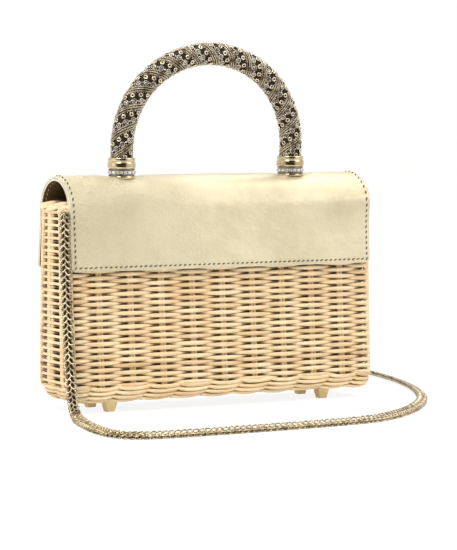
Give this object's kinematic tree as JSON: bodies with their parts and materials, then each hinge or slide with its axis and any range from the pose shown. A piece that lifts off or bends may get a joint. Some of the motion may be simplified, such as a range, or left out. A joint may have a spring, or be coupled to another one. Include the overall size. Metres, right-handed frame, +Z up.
{
  "type": "basket box bag",
  "caption": "Slim woven box bag on small metal feet, closed by a stiff leather saddle flap with a rigid wrapped arch handle and a long chain strap.",
  "frame": {"origin": "on the plane of the four feet, at the middle of the basket's width and depth", "axes": "+X along the long front, to the right as one faces it; +Y from the front to the back, where the flap folds; +Z up"},
  "size_m": [0.3562, 0.3183, 0.2575],
  "materials": {
    "rattan": "natural woven cane",
    "board": "fibreboard",
    "lining": "dark woven lining",
    "outer_leather": "metallic champagne leather, finely crumpled",
    "inner_leather": "dark brown lining leather",
    "gold_metal": "polished pale gold plate",
    "silver_metal": "polished aged silver plate",
    "crystal": "clear cut stones",
    "wrap": "aged pale brass cords and bead rows",
    "chain": "aged brass links",
    "steel": "zinc plated"
  },
  "bodies": {
    "basket": {"woven_walls": "rattan", "woven_floor": "rattan", "foot_border": "rattan", "rim_border": "rattan", "base_board": "board", "lining": "lining", "foot_front_left": "gold_metal", "foot_front_right": "gold_metal", "foot_back_left": "gold_metal", "foot_back_right": "gold_metal", "foot_screws": "steel", "back_inner_leather": "inner_leather", "back_board": "board", "back_outer_leather": "outer_leather", "wall_magnet": "steel", "strap_staple_left": "chain", "strap_staple_right": "chain", "chain_strap": "chain"},
    "flap": {"flap_inner_leather": "inner_leather", "flap_board": "board", "flap_outer_leather": "outer_leather", "flap_magnet": "steel", "handle_core": "steel", "handle_wrap": "wrap", "ferrule_left": "gold_metal", "ferrule_right": "gold_metal", "crystal_setting_left": "silver_metal", "crystal_setting_right": "silver_metal", "crystals_left": "crystal", "crystals_right": "crystal", "backing_plate_left": "steel", "backing_plate_right": "steel", "handle_screws": "steel"}
  },
  "joints": [
    {"name": "flap_fold", "type": "hinge", "parent": "basket", "child": "flap", "pos_m": [0, 0.02483, 0.1376], "axis": [-1, 0, 0], "range_deg": [0, 110]}
  ]
}
